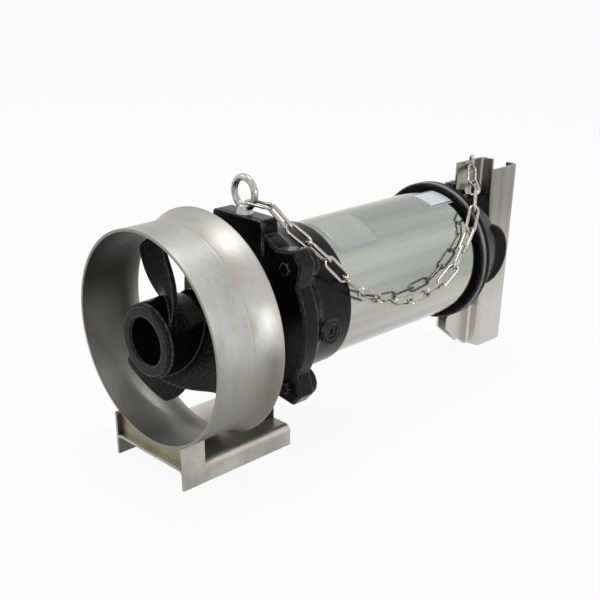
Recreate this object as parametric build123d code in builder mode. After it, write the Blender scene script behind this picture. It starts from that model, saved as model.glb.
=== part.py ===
from build123d import *
from math import atan, cos, degrees, pi, radians, sin, sqrt
import os

os.makedirs("parts", exist_ok=True)

# Compact submersible mixer with a jet ring, a guide-rail bracket and a lifting chain.
# Millimetres, +Z up, +Y from the propeller back to the guide rail, floor at Z = 0.
# Distances called station are measured along the shaft, back from the jet ring's front edge.
# Heights called level are measured from the shaft axis.

# Clearances
slide_gap = 0.05            # round parts that slide together when assembled
running_gap = 0.05          # faces and bearings that turn against each other
hole_gap = 0.4              # bolt hole over bolt, on the radius
weld_gap = 0.2              # between a sheet edge and the sheet it is welded to

# Jet ring
shaft_height = 156.0
ring_radius = 120.0
ring_sheet = 3.0
ring_straight = 48.0
flare_length = 34.0
flare_rise = 8.5

# Foot
foot_sheet = 3.0
foot_width = 122.8
foot_lead = 5.0             # foot's front edge ahead of the jet ring
foot_bend = 8.0
web_drop = 10.5             # from the bottom of the ring down to the foot's web
tab_length = 31.0
cross_plate_station = 1.0

# Propeller
blade_count = 3
hub_front = -1.0
hub_rear = 66.0
hub_face_radius = 40.0
hub_groove = 1.2
hub_groove_start = 4.0
hub_groove_width = 2.0
hub_edge = 2.0
hub_bore_radius = 26.3
hub_bore_depth = 39.0
blade_tip_radius = 104.0
blade_advance = 23.0        # travel along the shaft for each radian of blade
blade_root_thickness = 7.5
blade_tip_thickness = 4.0
blade_corner = 9.0
blade_first_angle = 30.0    # angle at which the first blade's surface is at its datum station
blade_datum = 9.0

# Shaft and the parts on it
propeller_seat_radius = 12.0
seal_shaft_radius = 14.0
front_bearing_bore = 15.0
rear_bearing_bore = 12.5
rotor_shaft_radius = 20.0
key_width = 8.0
key_height = 7.0
key_length = 20.0
propeller_bolt_radius = 6.0
propeller_bolt_head = 19.0
propeller_bolt_head_height = 7.5
propeller_bolt_length = 28.0
washer_radius = 22.0
washer_thickness = 4.0

# Front cover with its neck, lifting block and leg
neck_front = 69.0
neck_radius = 41.0
neck_bore = 16.0
cover_front = 134.0
cover_depth = 21.0
cover_radius = 105.0
cover_edge = 2.5
cover_round = 5.0           # corners of the lugs and the block
lug_angle = 42.0            # above and below the horizontal, each side
lug_bolt_circle = 104.0
lug_reach = 124.0
lug_tip_width = 19.0
lug_root_width = 52.0
block_width = 80.0
block_lead = 3.0            # block's front face ahead of the cover's
block_level = 113.0
leg_width = 66.0

# Oil housing
flange_radius = 100.0
flange_depth = 10.0
flange_rim = 4.0            # straight part of the flange's edge
ear_radius = 17.0
barrel_radius = 86.0
barrel_start = 178.0
barrel_blend = 22.0
rim_round = 3.0
barrel_end = 230.0
oil_chamber_radius = 70.0
oil_chamber_end = 172.0
seat_radius = 22.0
seat_depth = 6.0
seat_shaft_gap = 0.6
seal_ring_radius = 21.0
seal_ring_depth = 8.0
bellows_radius = 18.0
plug_boss_station = 194.0
plug_boss_level = -16.0
plug_boss_radius = 15.0
plug_boss_reach = 88.5
plug_radius = 9.0
plug_depth = 8.0
plug_recess = 1.5
plug_hex = 8.0

# Bearings
front_bearing_radius = 36.0
front_bearing_width = 19.0
rear_bearing_radius = 26.0
rear_bearing_width = 15.0
bearing_ring = 5.0

# Motor
tube_radius = 82.6
tube_wall = 3.0
tube_end = 472.0
spigot_length = 20.0
stator_bore = 45.0
stator_start = 262.0
stator_length = 140.0
air_gap = 0.5
winding_radius = 68.0
winding_length = 24.0
end_ring_radius = 42.0
end_ring_length = 12.0
end_ring_bore = 28.0
winding_step = 3.0          # windings stand back from the stator's bore

# Rear cover
lip_radius = 92.0
lip_length = 18.0
dome_radius = 60.0
dome_end = 546.0
pad_width = 48.0
pad_height = 140.0
rib_front = 505.0
rib_top = 16.0              # above the pad
rib_bottom = 30.0           # below the pad, at the front
rib_slope = 40.0            # further drop towards the channel
side_boss_station = 520.0
side_boss_radius = 41.0
side_boss_reach = 70.0
gland_station = 522.0
gland_boss_reach = 84.0
gland_radius = 17.0
gland_length = 22.0
gland_bore = 8.0
gland_nut = 30.0

# Guide-rail bracket
rail_sheet = 3.0
rail_gap = 13.4             # thickness of the rib between the two sheets
arm_front = 517.0
tab_front = 512.0
channel_front = 566.5
channel_inside = 53.4       # a 50 mm square guide pipe runs in it
channel_depth = 51.0
lip_width = 18.2
rail_bend = 4.0
rail_top_level = 101.0
tab_top_level = 115.0
tab_width = 26.0
arm_cut_level = -123.0      # bottom of the straight front edge of the arm

# Fasteners
bolt_radius = 4.0           # M8 throughout
bolt_head = 13.0
bolt_head_height = 5.3
bolt_thread_depth = 15.0
nut_height = 6.5
bolt_end = 2.0              # thread beyond the nut
rail_bolt_inset = 14.0      # from the channel's face to the rear pair of bolts
rail_bolt_spacing = 21.0    # between the front pair and the rear pair
rail_bolt_margin = 8.0      # from the rib's top down to the upper bolts
washer_gap = 0.05

# Lifting eye and chain
eye_radius = 16.5
eye_wire = 4.0
eye_lift = 22.5             # from the block's top to the middle of the eye
eye_seat_radius = 10.0
eye_seat_height = 7.0
eye_thread_radius = 5.0
eye_thread_length = 20.0
link_wire = 1.8             # radius of the connecting link's and the tab ring's wire
eye_link_drop = 8.5         # from the middle of the eye down to the connecting link
eye_link_reach = 1.0        # past the side of the lifting block
tab_ring_radius = 8.8
tab_ring_out = 4.0          # middle of the ring from the middle of the tab
tab_ring_turn = 40.0        # turned towards the chain's pull
tab_ring_gap = 0.4
chain_wire = 2.0            # radius
chain_width = 16.0
chain_pitch = 31.0
link_slack = 0.4
link_tilt = 25.0            # of every second link, from lying flat on the motor
twisted_links = 5           # that turn step by step to lie square to the tab's ring

# Derived places
channel_rear = channel_front + rail_sheet + channel_depth + rail_sheet
ring_front = foot_lead - (channel_rear + foot_lead) / 2
web_level = -ring_radius - web_drop
cover_rear = cover_front + cover_depth
shaft_axis = Axis((0, 0, shaft_height), (0, 1, 0))


def along(x=0.0):
    """Plane beside the shaft: its x runs back along the shaft, its y is the level."""
    return Plane(origin=(x, ring_front, shaft_height), x_dir=(0, 1, 0), z_dir=(1, 0, 0))


def across(station):
    """Plane across the shaft, seen from the front: a positive extrusion comes forward."""
    return Plane(origin=(0, ring_front + station, shaft_height), x_dir=(1, 0, 0), z_dir=(0, -1, 0))


def level_plane(level):
    """Horizontal plane at a level, with its origin above the ring's front edge."""
    return Plane(origin=(0, ring_front, shaft_height + level), x_dir=(1, 0, 0), z_dir=(0, 0, 1))


def ring_section(start, end, inner, outer):
    """Half section of a ring about the shaft, drawn in the sketch that is open."""
    with Locations(((start + end) / 2, (inner + outer) / 2)):
        Rectangle(end - start, outer - inner)


def save(piece, name):
    """Label one finished piece and write it to its own file."""
    piece.part.label = name
    export_step(piece.part, f"parts/{name}.step")


# Jet ring: a rolled cylinder with its rear edge spun out into a bell
flare_angle = 2 * degrees(atan(flare_rise / flare_length))
flare_radius = flare_length / sin(radians(flare_angle))
flare_centre = (ring_straight, ring_radius + flare_radius)

with BuildPart() as jet_ring:
    with BuildSketch(along()):
        with BuildLine():
            outer_wall = Line((0, ring_radius), (ring_straight, ring_radius))
            outer_flare = CenterArc(flare_centre, flare_radius, -90, flare_angle)
            inner_flare = CenterArc(flare_centre, flare_radius + ring_sheet, -90, flare_angle)
            inner_wall = Line((0, ring_radius - ring_sheet), (ring_straight, ring_radius - ring_sheet))
            Line(outer_flare @ 1, inner_flare @ 1)
            Line(outer_wall @ 0, inner_wall @ 0)
        make_face()
    revolve(axis=shaft_axis)
save(jet_ring, "jet_ring")

# Foot: a folded channel, open below, whose side walls rise in front to carry the ring
foot_height = shaft_height + web_level
foot_length = foot_lead + cover_rear
foot_bolt_x = leg_width / 4
foot_bolt_station = cover_front + cover_depth / 2

with BuildPart() as foot_channel:
    with BuildSketch(across(-foot_lead)) as foot_section:
        with Locations((0, web_level - foot_height / 2)):
            Rectangle(foot_width, foot_height)
        fillet(foot_section.vertices().group_by(Axis.Y)[-1], radius=foot_bend)
        with BuildSketch(across(-foot_lead), mode=Mode.PRIVATE) as foot_inside:
            with Locations((0, web_level - foot_height / 2)):
                Rectangle(foot_width - 2 * foot_sheet, foot_height)
            fillet(foot_inside.vertices().group_by(Axis.Y)[-1], radius=foot_bend - foot_sheet)
        with Locations((0, -foot_sheet)):
            add(foot_inside.face(), mode=Mode.SUBTRACT)
    extrude(amount=-foot_length)
    with BuildSketch(across(-foot_lead)):
        for side in (-1, 1):
            with Locations((side * (foot_width - foot_sheet) / 2, web_level / 2 - foot_bend)):
                Rectangle(foot_sheet, -web_level)
    extrude(amount=-tab_length)
    with BuildSketch(across(-foot_lead)):
        Circle(ring_radius + weld_gap)
    extrude(amount=-foot_length, mode=Mode.SUBTRACT)
    with BuildSketch(level_plane(web_level)):
        with Locations((-foot_bolt_x, foot_bolt_station), (foot_bolt_x, foot_bolt_station)):
            Circle(bolt_radius + hole_gap)
    extrude(amount=-foot_sheet, mode=Mode.SUBTRACT)
save(foot_channel, "foot_channel")

# Cross plate: stands on the foot's web between the tabs and follows the ring
with BuildPart() as foot_cross_plate:
    with BuildSketch(across(cross_plate_station)):
        plate_half = foot_width / 2 - foot_sheet - weld_gap
        with Locations((0, (web_level - ring_radius * cos(pi / 6)) / 2)):
            Rectangle(2 * plate_half, -ring_radius * cos(pi / 6) - web_level)
        Circle(ring_radius + weld_gap, mode=Mode.SUBTRACT)
    extrude(amount=-foot_sheet)
save(foot_cross_plate, "foot_cross_plate")

# Propeller blade: a helical slab cut to its outline
blade_start_angle = 20.0
blade_sweep = 140.0
leading_tip_angle = 94.0
leading_sweep = 60.0
trailing_root_angle = 150.0
trailing_sweep = 20.0


def leading_edge(radius):
    """Point of the leading edge at a radius: the edge sweeps back towards the hub."""
    share = (blade_tip_radius - radius) / (blade_tip_radius - hub_face_radius)
    angle = radians(leading_tip_angle - leading_sweep * share**2)
    return (radius * cos(angle), radius * sin(angle))


def trailing_edge(radius):
    """Point of the trailing edge at a radius: the edge comes forward towards the tip."""
    share = (radius - hub_face_radius) / (blade_tip_radius - hub_face_radius)
    angle = radians(trailing_root_angle - trailing_sweep * share**2)
    return (radius * cos(angle), radius * sin(angle))


blade_radii = [hub_face_radius + step * (blade_tip_radius - hub_face_radius) / 4 for step in range(5)]
radial = Vector(cos(radians(blade_start_angle)), 0, sin(radians(blade_start_angle)))
tangent = Vector(-sin(radians(blade_start_angle)), 0, cos(radians(blade_start_angle)))
blade_start = blade_datum + blade_advance * radians(blade_start_angle - blade_first_angle)
blade_origin = (0, ring_front + blade_start, shaft_height)
tip_angle = radians((leading_tip_angle + trailing_root_angle - trailing_sweep) / 2)
tip_middle = (blade_tip_radius * cos(tip_angle), blade_tip_radius * sin(tip_angle))
slab_inner = hub_bore_radius + 5
slab_outer = blade_tip_radius + 5
blade_root_depth = 0.8

blade_plane = Plane(origin=blade_origin, x_dir=radial, z_dir=(0, 1, 0))
blade_path = blade_plane.location * Helix(
    pitch=2 * pi * blade_advance,
    height=blade_advance * radians(blade_sweep),
    radius=(slab_inner + slab_outer) / 2,
    lefthand=True,
)

with BuildPart() as blade:
    with BuildSketch(Plane(origin=blade_origin, x_dir=radial, z_dir=tangent)):
        with BuildLine():
            Polyline(
                (slab_inner, -blade_root_thickness / 2),
                (slab_outer, -blade_tip_thickness / 2),
                (slab_outer, blade_tip_thickness / 2),
                (slab_inner, blade_root_thickness / 2),
                close=True,
            )
        make_face()
    sweep(path=blade_path, is_frenet=True)
    with BuildSketch(across(hub_front)) as outline:
        with BuildLine():
            lead = Spline([leading_edge(radius) for radius in blade_radii])
            trail = Spline([trailing_edge(radius) for radius in blade_radii])
            ThreePointArc(lead @ 1, tip_middle, trail @ 1)
            Polyline(lead @ 0, (lead @ 0) * blade_root_depth, (trail @ 0) * blade_root_depth, trail @ 0)
        make_face()
        fillet(outline.vertices().filter_by(lambda corner: corner.Y > 0).sort_by(Axis.Y)[-2:], blade_corner)
    extrude(amount=-blade_tip_radius, mode=Mode.INTERSECT)

# Propeller: hub with a deep front bore, and the blades
hub_swell = 2.5
hub_swell_station = hub_front + 34
hub_tail_length = 12.0
hub_tail_round = 8.0
groove_start = hub_front + hub_groove_start
groove_end = groove_start + hub_groove_width
bore_floor = hub_front + hub_bore_depth

with BuildPart() as propeller:
    with BuildSketch(along()):
        with BuildLine():
            Polyline(
                (hub_front, 0),
                (hub_front, hub_face_radius - hub_edge),
                (hub_front + hub_edge, hub_face_radius),
                (groove_start, hub_face_radius),
                (groove_start, hub_face_radius - hub_groove),
                (groove_end, hub_face_radius - hub_groove),
                (groove_end, hub_face_radius + hub_swell / 2),
                (hub_swell_station, hub_face_radius + hub_swell),
                (hub_rear - hub_tail_length, hub_face_radius + hub_swell / 4),
                (hub_rear - hub_tail_length / 4, hub_face_radius - hub_tail_round / 3),
                (hub_rear, hub_face_radius - hub_tail_round),
                (hub_rear, 0),
                close=True,
            )
        make_face()
    revolve(axis=shaft_axis)
    add([blade.part.rotate(shaft_axis, -turn * 360 / blade_count) for turn in range(blade_count)])
    with BuildSketch(along()):
        with BuildLine():
            Polyline(
                (hub_front, 0),
                (hub_front, hub_bore_radius + hub_edge),
                (hub_front + hub_edge, hub_bore_radius),
                (bore_floor, hub_bore_radius),
                (bore_floor, 0),
                close=True,
            )
        make_face()
    revolve(axis=shaft_axis, mode=Mode.SUBTRACT)
    with BuildSketch(across(hub_front)):
        Circle(propeller_seat_radius + slide_gap)
        with Locations((0, propeller_seat_radius)):
            Rectangle(key_width + 2 * slide_gap, key_height)
    extrude(amount=hub_front - hub_rear, mode=Mode.SUBTRACT)
save(propeller, "propeller")

# Shaft: stepped, with a keyway for the propeller and a tapped front end
bearing_shoulder = 5.0
front_bearing_start = oil_chamber_end + seat_depth + bearing_shoulder
front_bearing_end = front_bearing_start + front_bearing_width
rear_bearing_end = tube_end
rear_bearing_start = rear_bearing_end - rear_bearing_width
shaft_end_recess = 2.0
shaft_front = bore_floor + shaft_end_recess
key_start = shaft_front + 2

with BuildPart() as shaft:
    with BuildSketch(along()):
        ring_section(shaft_front, hub_rear, 0, propeller_seat_radius)
        ring_section(hub_rear, front_bearing_start, 0, seal_shaft_radius)
        ring_section(front_bearing_start, front_bearing_end, 0, front_bearing_bore)
        ring_section(front_bearing_end, rear_bearing_start, 0, rotor_shaft_radius)
        ring_section(rear_bearing_start, rear_bearing_end, 0, rear_bearing_bore)
    revolve(axis=shaft_axis)
    with BuildSketch(level_plane(propeller_seat_radius)):
        with Locations((0, key_start + key_length / 2)):
            Rectangle(key_width, key_length)
    extrude(amount=-key_height / 2, mode=Mode.SUBTRACT)
    with BuildSketch(across(shaft_front)):
        Circle(propeller_bolt_radius + slide_gap)
    extrude(amount=-propeller_bolt_length, mode=Mode.SUBTRACT)
save(shaft, "shaft")

# Propeller key
with BuildPart() as propeller_key:
    with BuildSketch(level_plane(propeller_seat_radius - key_height / 2)):
        with Locations((0, key_start + key_length / 2)):
            Rectangle(key_width - 2 * slide_gap, key_length - 2 * slide_gap)
    extrude(amount=key_height - slide_gap)
save(propeller_key, "propeller_key")

# Propeller washer and bolt: clamp the hub from inside its bore
with BuildPart() as propeller_washer:
    with BuildSketch(along()):
        ring_section(bore_floor - washer_thickness, bore_floor, propeller_bolt_radius + slide_gap, washer_radius)
    revolve(axis=shaft_axis)
save(propeller_washer, "propeller_washer")

with BuildPart() as propeller_bolt:
    with BuildSketch(across(bore_floor - washer_thickness)):
        RegularPolygon(radius=propeller_bolt_head / 2, side_count=6, major_radius=False)
    extrude(amount=propeller_bolt_head_height)
    with BuildSketch(across(bore_floor - washer_thickness)):
        Circle(propeller_bolt_radius)
    extrude(amount=-propeller_bolt_length)
save(propeller_bolt, "propeller_bolt")

# Front cover: neck over the shaft, thick plate with four bolt lugs, lifting block and leg
lug_angles = (lug_angle, 180 - lug_angle, 180 + lug_angle, 360 - lug_angle)
lug_bolts = [
    (lug_bolt_circle * cos(radians(angle)), lug_bolt_circle * sin(radians(angle))) for angle in lug_angles
]
lug_turns = [Location((0, 0, 0), (0, 0, angle)) for angle in lug_angles]
lug_root = sqrt(cover_radius**2 - (lug_root_width / 2) ** 2) - cover_edge
recess_depth = 13.0
cover_spigot = 4.0
recess_shoulder = 8.0       # wall round the spigot
seat_pocket = 8.0
block_drop = 30.0           # block's front face reaches below the cover's edge
neck_wall_end = cover_rear - recess_depth

with BuildPart() as front_cover:
    with BuildSketch(across(cover_front)) as cover_outline:
        Circle(cover_radius)
        with Locations(*lug_turns):
            Polygon(
                (lug_root, lug_root_width / 2),
                (lug_reach, lug_tip_width / 2),
                (lug_reach, -lug_tip_width / 2),
                (lug_root, -lug_root_width / 2),
                align=None,
            )
        with Locations((0, block_level / 2)):
            Rectangle(block_width, block_level)
        with Locations((0, web_level / 2)):
            Rectangle(leg_width, -web_level)
        far_corners = cover_outline.vertices().sort_by(lambda corner: corner.Y**2 + corner.X**2)
        fillet([corner for corner in far_corners[-12:] if corner.Y > web_level], cover_round)
    extrude(amount=-cover_depth)
    chamfer(front_cover.edges().group_by(Axis.Y)[0], cover_edge)
    with BuildSketch(across(cover_front)) as block_face:
        with Locations((0, (block_level + cover_radius - block_drop) / 2)):
            Rectangle(block_width, block_level - cover_radius + block_drop)
        fillet(block_face.vertices().group_by(Axis.Y)[-1], cover_round)
    extrude(amount=block_lead)
    with BuildSketch(along()):
        ring_section(neck_front, cover_front, 0, neck_radius)
        ring_section(cover_rear, cover_rear + cover_spigot, 0, oil_chamber_radius - slide_gap)
    revolve(axis=shaft_axis)
    with BuildSketch(along()):
        ring_section(neck_front, cover_rear, 0, neck_bore)
        ring_section(neck_wall_end - seat_pocket, cover_rear, 0, seat_radius)
        ring_section(neck_wall_end, cover_rear + cover_spigot, 0, oil_chamber_radius - recess_shoulder)
    revolve(axis=shaft_axis, mode=Mode.SUBTRACT)
    with BuildSketch(across(cover_front)):
        with Locations(*lug_bolts):
            Circle(bolt_radius + hole_gap)
    extrude(amount=-cover_depth, mode=Mode.SUBTRACT)
    with BuildSketch(level_plane(block_level)):
        with Locations((0, cover_front + cover_depth / 2 - block_lead / 2)):
            Circle(eye_thread_radius + slide_gap)
    extrude(amount=-eye_thread_length, mode=Mode.SUBTRACT)
    with BuildSketch(level_plane(web_level)):
        with Locations((-foot_bolt_x, foot_bolt_station), (foot_bolt_x, foot_bolt_station)):
            Circle(bolt_radius + slide_gap)
    extrude(amount=bolt_thread_depth + 1, mode=Mode.SUBTRACT)
save(front_cover, "front_cover")

# Oil housing: flange with four ears, barrel, oil chamber and front bearing seat
housing_bore_lip = 17.0
rim_end = cover_rear + flange_rim
wall_start = oil_chamber_end
barrel_chamfer = 2.5
motor_cavity = 72.0
wall_rear = front_bearing_end + 3
tube_start = barrel_end
spigot_radius = tube_radius - tube_wall - slide_gap

with BuildPart() as oil_housing:
    with BuildSketch(along()) as housing_profile:
        with BuildLine():
            Polyline(
                (cover_rear, 0),
                (cover_rear, flange_radius),
                (rim_end, flange_radius),
                (barrel_start, barrel_radius),
                (barrel_end - barrel_chamfer, barrel_radius),
                (barrel_end, barrel_radius - barrel_chamfer),
                (barrel_end, spigot_radius),
                (barrel_end + spigot_length, spigot_radius),
                (barrel_end + spigot_length, 0),
                close=True,
            )
        make_face()
        shoulder = housing_profile.vertices().sort_by_distance((barrel_start, barrel_radius))[0]
        fillet(shoulder, radius=barrel_blend)
        rim = housing_profile.vertices().sort_by_distance((rim_end, flange_radius))[0]
        fillet(rim, radius=rim_round)
    revolve(axis=shaft_axis)
    with BuildSketch(across(cover_rear)):
        with Locations(*lug_bolts):
            Circle(ear_radius)
    extrude(amount=-flange_depth)
    with BuildSketch(along()):
        with Locations((plug_boss_station, plug_boss_level)):
            Circle(plug_boss_radius)
    extrude(amount=plug_boss_reach)
    with BuildSketch(along()):
        ring_section(cover_rear, wall_start, 0, oil_chamber_radius)
        ring_section(cover_rear, front_bearing_end, 0, housing_bore_lip)
        ring_section(wall_start, wall_start + seat_depth, 0, seat_radius)
        ring_section(front_bearing_start, wall_rear, 0, front_bearing_radius)
        ring_section(wall_rear, barrel_end + spigot_length, 0, motor_cavity)
    revolve(axis=shaft_axis, mode=Mode.SUBTRACT)
    with BuildSketch(along(plug_boss_reach)):
        with Locations((plug_boss_station, plug_boss_level)):
            Circle(plug_radius + slide_gap)
    extrude(amount=-plug_depth, mode=Mode.SUBTRACT)
    with BuildSketch(across(cover_rear)):
        with Locations(*lug_bolts):
            Circle(bolt_radius + slide_gap)
    extrude(amount=-flange_depth, mode=Mode.SUBTRACT)
save(oil_housing, "oil_housing")

# Oil plug: screwed below the face of its boss, driven by a hexagon key
with BuildPart() as oil_plug:
    with BuildSketch(along(plug_boss_reach - plug_depth)):
        with Locations((plug_boss_station, plug_boss_level)):
            Circle(plug_radius)
    extrude(amount=plug_depth - plug_recess)
    with BuildSketch(along(plug_boss_reach - plug_recess)):
        with Locations((plug_boss_station, plug_boss_level)):
            RegularPolygon(radius=plug_hex / 2, side_count=6, major_radius=False)
    extrude(amount=-plug_depth / 2, mode=Mode.SUBTRACT)
save(oil_plug, "oil_plug")

# Mechanical seals: a fixed seat in each wall of the oil chamber, two faces on the shaft, one bellows
with BuildPart() as seal_seats:
    with BuildSketch(along()):
        seat_bore = seal_shaft_radius + seat_shaft_gap
        ring_section(neck_wall_end - seat_pocket, neck_wall_end, seat_bore, seat_radius - slide_gap)
        ring_section(wall_start, wall_start + seat_depth, seat_bore, seat_radius - slide_gap)
    revolve(axis=shaft_axis)
save(seal_seats, "seal_seats")

with BuildPart() as seal_faces:
    with BuildSketch(along()):
        front_face_start = neck_wall_end + running_gap
        ring_section(front_face_start, front_face_start + seal_ring_depth, seal_shaft_radius, seal_ring_radius)
        rear_face_end = wall_start - running_gap
        ring_section(rear_face_end - seal_ring_depth, rear_face_end, seal_shaft_radius, seal_ring_radius)
    revolve(axis=shaft_axis)
save(seal_faces, "seal_faces")

with BuildPart() as seal_bellows:
    with BuildSketch(along()):
        bellows_start = front_face_start + seal_ring_depth
        bellows_end = rear_face_end - seal_ring_depth
        ring_section(bellows_start, bellows_end, seal_shaft_radius, bellows_radius)
    revolve(axis=shaft_axis)
save(seal_bellows, "seal_bellows")

# Shielded ball bearings: the shields close the space between the rings
with BuildPart() as bearing_outer_rings:
    with BuildSketch(along()):
        ring_section(
            front_bearing_start,
            front_bearing_end,
            front_bearing_bore + bearing_ring + running_gap,
            front_bearing_radius,
        )
        ring_section(
            rear_bearing_start, rear_bearing_end, rear_bearing_bore + bearing_ring + running_gap, rear_bearing_radius
        )
    revolve(axis=shaft_axis)
save(bearing_outer_rings, "bearing_outer_rings")

with BuildPart() as bearing_inner_rings:
    with BuildSketch(along()):
        ring_section(front_bearing_start, front_bearing_end, front_bearing_bore, front_bearing_bore + bearing_ring)
        ring_section(rear_bearing_start, rear_bearing_end, rear_bearing_bore, rear_bearing_bore + bearing_ring)
    revolve(axis=shaft_axis)
save(bearing_inner_rings, "bearing_inner_rings")

# Motor tube: polished stainless pipe over the spigots of both castings
with BuildPart() as motor_tube:
    with BuildSketch(along()):
        ring_section(tube_start, tube_end, tube_radius - tube_wall, tube_radius)
    revolve(axis=shaft_axis)
save(motor_tube, "motor_tube")

# Stator and rotor
stator_end = stator_start + stator_length
rotor_radius = stator_bore - air_gap

with BuildPart() as stator_core:
    with BuildSketch(along()):
        ring_section(stator_start, stator_end, stator_bore, tube_radius - tube_wall - slide_gap)
    revolve(axis=shaft_axis)
save(stator_core, "stator_core")

with BuildPart() as stator_windings:
    with BuildSketch(along()):
        ring_section(stator_start - winding_length, stator_start, stator_bore + winding_step, winding_radius)
        ring_section(stator_end, stator_end + winding_length, stator_bore + winding_step, winding_radius)
    revolve(axis=shaft_axis)
save(stator_windings, "stator_windings")

with BuildPart() as rotor_core:
    with BuildSketch(along()):
        ring_section(stator_start, stator_end, rotor_shaft_radius, rotor_radius)
    revolve(axis=shaft_axis)
save(rotor_core, "rotor_core")

with BuildPart() as rotor_end_rings:
    with BuildSketch(along()):
        ring_section(stator_start - end_ring_length, stator_start, end_ring_bore, end_ring_radius)
        ring_section(stator_end, stator_end + end_ring_length, end_ring_bore, end_ring_radius)
    revolve(axis=shaft_axis)
save(rotor_end_rings, "rotor_end_rings")

# Rear cover: spigot, lip, dome, pad for the bracket, rib between its sheets, bosses
lip_end = tube_end + lip_length
lip_front_edge = 3.0
lip_rear_edge = 4.0
dome_shoulder = (lip_end + 30, lip_radius - 16)
bearing_boss_radius = rear_bearing_radius + 10
cover_wall = 8.0
rib_half = rail_gap / 2
boss_round = 8.0
pad_top = pad_height / 2
rib_top_level = pad_top + rib_top
rib_bottom_level = -pad_top - rib_bottom
rail_bolts = [
    (channel_front - rail_bolt_inset - back * rail_bolt_spacing, level)
    for level in (rib_top_level - rail_bolt_margin, rib_bottom_level + rail_bolt_margin)
    for back in (0, 1)
]
boss_plane = Plane(
    origin=(0, ring_front + side_boss_station, shaft_height), x_dir=(1, 0, 0), z_dir=(0, 0, 1)
)
gland_boss_radius = gland_radius + 7
gland_thread_radius = gland_radius - 5
gland_thread_length = 12.0
gland_cap_radius = gland_nut / 2 - 2

with BuildPart() as rear_cover:
    with BuildSketch(along()) as rear_profile:
        with BuildLine():
            Polyline(
                (tube_end - spigot_length, 0),
                (tube_end - spigot_length, spigot_radius),
                (tube_end, spigot_radius),
                (tube_end, lip_radius - lip_front_edge),
                (tube_end + lip_front_edge, lip_radius),
                (lip_end - lip_rear_edge, lip_radius),
                (lip_end, lip_radius - lip_rear_edge),
                dome_shoulder,
                (dome_end, dome_radius),
                (dome_end, 0),
                close=True,
            )
        make_face()
        for corner in (dome_shoulder, (dome_end, dome_radius)):
            fillet(rear_profile.vertices().sort_by_distance(corner)[0], radius=boss_round)
    revolve(axis=shaft_axis)
    with BuildSketch(across(channel_front)):
        RectangleRounded(pad_width, pad_height, radius=boss_round)
    extrude(amount=channel_front - lip_end)
    with BuildSketch(boss_plane) as boss_section:
        with Locations((side_boss_reach / 2, side_boss_radius / 2)):
            Rectangle(side_boss_reach, side_boss_radius)
        rim = boss_section.vertices().sort_by_distance(boss_plane.from_local_coords((side_boss_reach, side_boss_radius)))
        fillet(rim[0], radius=boss_round)
    revolve(axis=Axis(boss_plane.origin, (1, 0, 0)))
    with BuildSketch(along(-rib_half)) as rib_outline:
        with BuildLine():
            Polyline(
                (rib_front, rib_bottom_level),
                (rib_front, rib_top_level),
                (channel_front, rib_top_level),
                (channel_front, rib_bottom_level - rib_slope),
                close=True,
            )
        make_face()
        fillet(rib_outline.vertices().sort_by_distance((rib_front, rib_top_level))[0], radius=boss_round)
    extrude(amount=rail_gap)
    with BuildSketch(along()):
        with Locations((gland_station, 0)):
            Circle(gland_boss_radius)
    extrude(amount=-gland_boss_reach)
    with BuildSketch(along()):
        ring_section(tube_end - spigot_length, tube_end - cover_wall, bearing_boss_radius, motor_cavity)
        ring_section(rear_bearing_start, rear_bearing_end + 1, 0, rear_bearing_radius)
        ring_section(tube_end - spigot_length, rear_bearing_start, 0, bearing_boss_radius)
    revolve(axis=shaft_axis, mode=Mode.SUBTRACT)
    with BuildSketch(along(-gland_boss_reach)):
        with Locations((gland_station, 0)):
            Circle(gland_thread_radius + slide_gap)
    extrude(amount=gland_thread_length, mode=Mode.SUBTRACT)
    with BuildSketch(along(-rib_half)):
        with Locations(*rail_bolts):
            Circle(bolt_radius + hole_gap)
    extrude(amount=rail_gap, mode=Mode.SUBTRACT)
save(rear_cover, "rear_cover")

# Bracket sheets: folded stainless, one each side of the rib, making the channel for the guide pipe
arm_x = rib_half + rail_sheet
wall_x = channel_inside / 2 + rail_sheet
fold_radius = rail_bend + rail_sheet
floor_level = -shaft_height
arm_notch = pad_top + 1
dome_slope = (lip_radius - lip_rear_edge - dome_shoulder[1]) / (dome_shoulder[0] - lip_end)
notch_corner = dome_shoulder[1] + 1 + dome_slope * (dome_shoulder[0] - tab_front)
notch_run = (dome_end - dome_shoulder[0]) * (dome_shoulder[1] - pad_top) / (dome_shoulder[1] - dome_radius)
arm_cut_width = channel_front - arm_front - fold_radius
shackle_station = 542.0
shackle_level = 104.0
shackle_hole = 6.5

with BuildPart() as plain_sheet:
    with BuildSketch(level_plane(floor_level)):
        with BuildLine():
            FilletPolyline(
                (arm_x, tab_front),
                (arm_x, channel_front),
                (wall_x, channel_front),
                (wall_x, channel_rear),
                (wall_x - lip_width, channel_rear),
                radius=(rail_bend, fold_radius, fold_radius),
            )
            offset(amount=rail_sheet, side=Side.LEFT)
        make_face()
    extrude(amount=tab_top_level - floor_level)
    with BuildSketch(along()):
        with BuildLine():
            Polyline(
                (tab_front, -arm_notch),
                (tab_front, floor_level),
                (arm_front + arm_cut_width, floor_level),
                (arm_front, arm_cut_level),
                (arm_front, -arm_notch),
                close=True,
            )
        make_face()
        with BuildLine():
            notch = Polyline(
                (tab_front, 0),
                (tab_front, notch_corner),
                (dome_shoulder[0], dome_shoulder[1] + 1),
                (dome_shoulder[0] + notch_run, arm_notch),
                (channel_front, arm_notch),
                (channel_front, 0),
            )
            mirror(notch, about=Plane.XZ)
        make_face()
        with Locations(*rail_bolts):
            Circle(bolt_radius + hole_gap)
    extrude(amount=wall_x, mode=Mode.SUBTRACT)

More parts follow.
